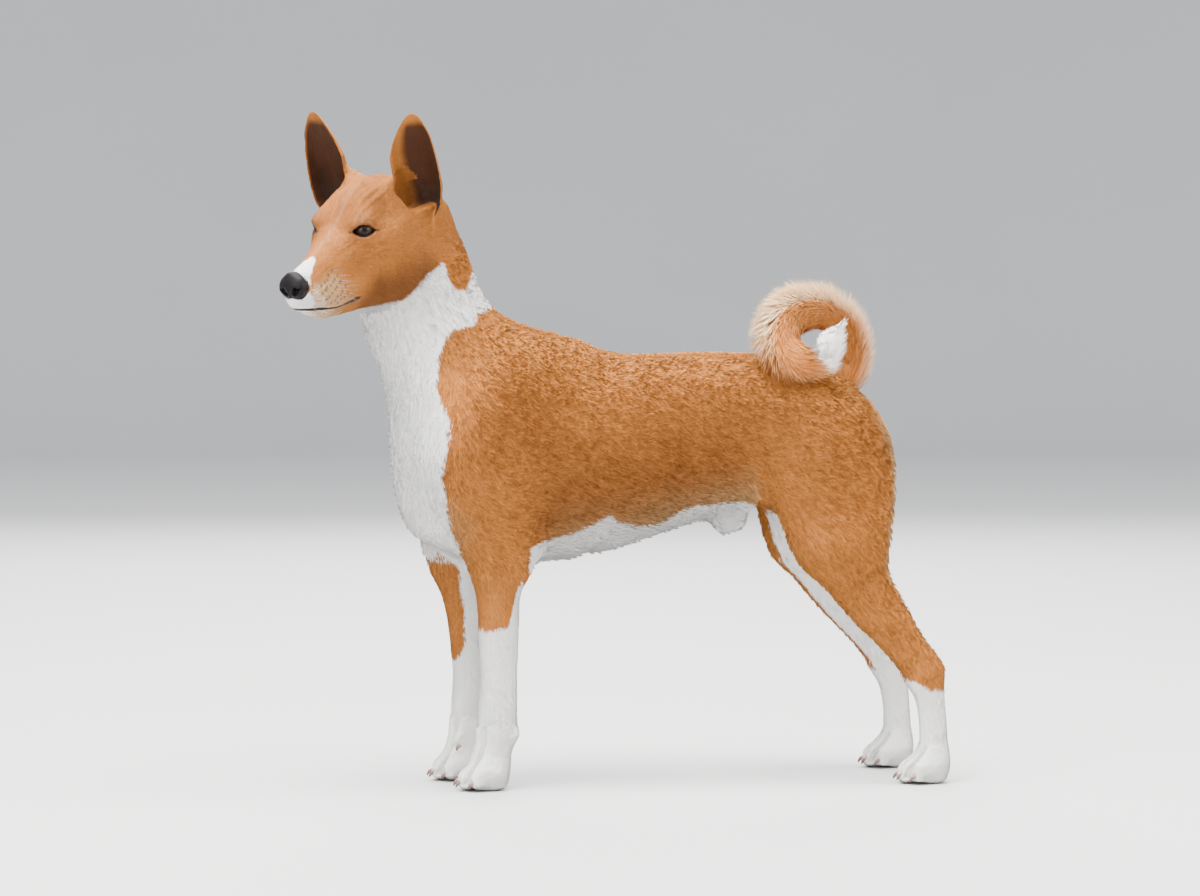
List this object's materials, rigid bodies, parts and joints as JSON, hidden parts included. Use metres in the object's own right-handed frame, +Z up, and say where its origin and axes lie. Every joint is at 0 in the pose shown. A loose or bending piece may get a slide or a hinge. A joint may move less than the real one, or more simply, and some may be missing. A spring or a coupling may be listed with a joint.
{
  "type": "standing dog figure",
  "caption": "Life-size short-coated spitz-type hound standing on all fours, head turned to its left, pricked ears, tail curled tightly over the back.",
  "frame": {"origin": "centre of the bounding box in plan, at the level of the soles, which is the floor", "axes": "-X the way the trunk faces, +X to the hind paws, -Y the animal's left side, +Z up"},
  "size_m": [0.639, 0.2182, 0.6293],
  "materials": {
    "red_coat": "short smooth red-ginger coat",
    "white_coat": "short smooth white coat",
    "cream_coat": "longer coat of the tail, red over cream",
    "nose": "bare black nose leather, fine pebbled, moist",
    "eye": "dark brown eye with a wet gloss",
    "claw": "pale horn"
  },
  "bodies": {
    "root": {"eye_left": "eye", "eye_right": "eye", "head": "red_coat", "ear_left": "red_coat", "ear_right": "red_coat", "muzzle": "white_coat", "lower_jaw": "white_coat", "nose": "nose", "chest": "red_coat", "loin": "red_coat", "croup": "red_coat", "neck_lower": "red_coat", "neck_upper": "red_coat", "foreleg_left": "red_coat", "claw_forepaw_left_1": "claw", "claw_forepaw_left_2": "claw", "claw_forepaw_left_3": "claw", "claw_forepaw_left_4": "claw", "claw_forepaw_left_5": "claw", "forepaw_left": "white_coat", "foreleg_right": "red_coat", "claw_forepaw_right_1": "claw", "claw_forepaw_right_2": "claw", "claw_forepaw_right_3": "claw", "claw_forepaw_right_4": "claw", "claw_forepaw_right_5": "claw", "forepaw_right": "white_coat", "thigh_left": "red_coat", "gaskin_left": "red_coat", "hock_left": "white_coat", "claw_hindpaw_left_1": "claw", "claw_hindpaw_left_2": "claw", "claw_hindpaw_left_3": "claw", "claw_hindpaw_left_4": "claw", "hindpaw_left": "white_coat", "thigh_right": "red_coat", "gaskin_right": "red_coat", "hock_right": "white_coat", "claw_hindpaw_right_1": "claw", "claw_hindpaw_right_2": "claw", "claw_hindpaw_right_3": "claw", "claw_hindpaw_right_4": "claw", "hindpaw_right": "white_coat", "tail_root": "cream_coat", "tail_rise": "cream_coat", "tail_top": "cream_coat", "tail_fall": "cream_coat", "tail_under": "cream_coat", "tail_tip": "white_coat"}
  },
  "joints": []
}
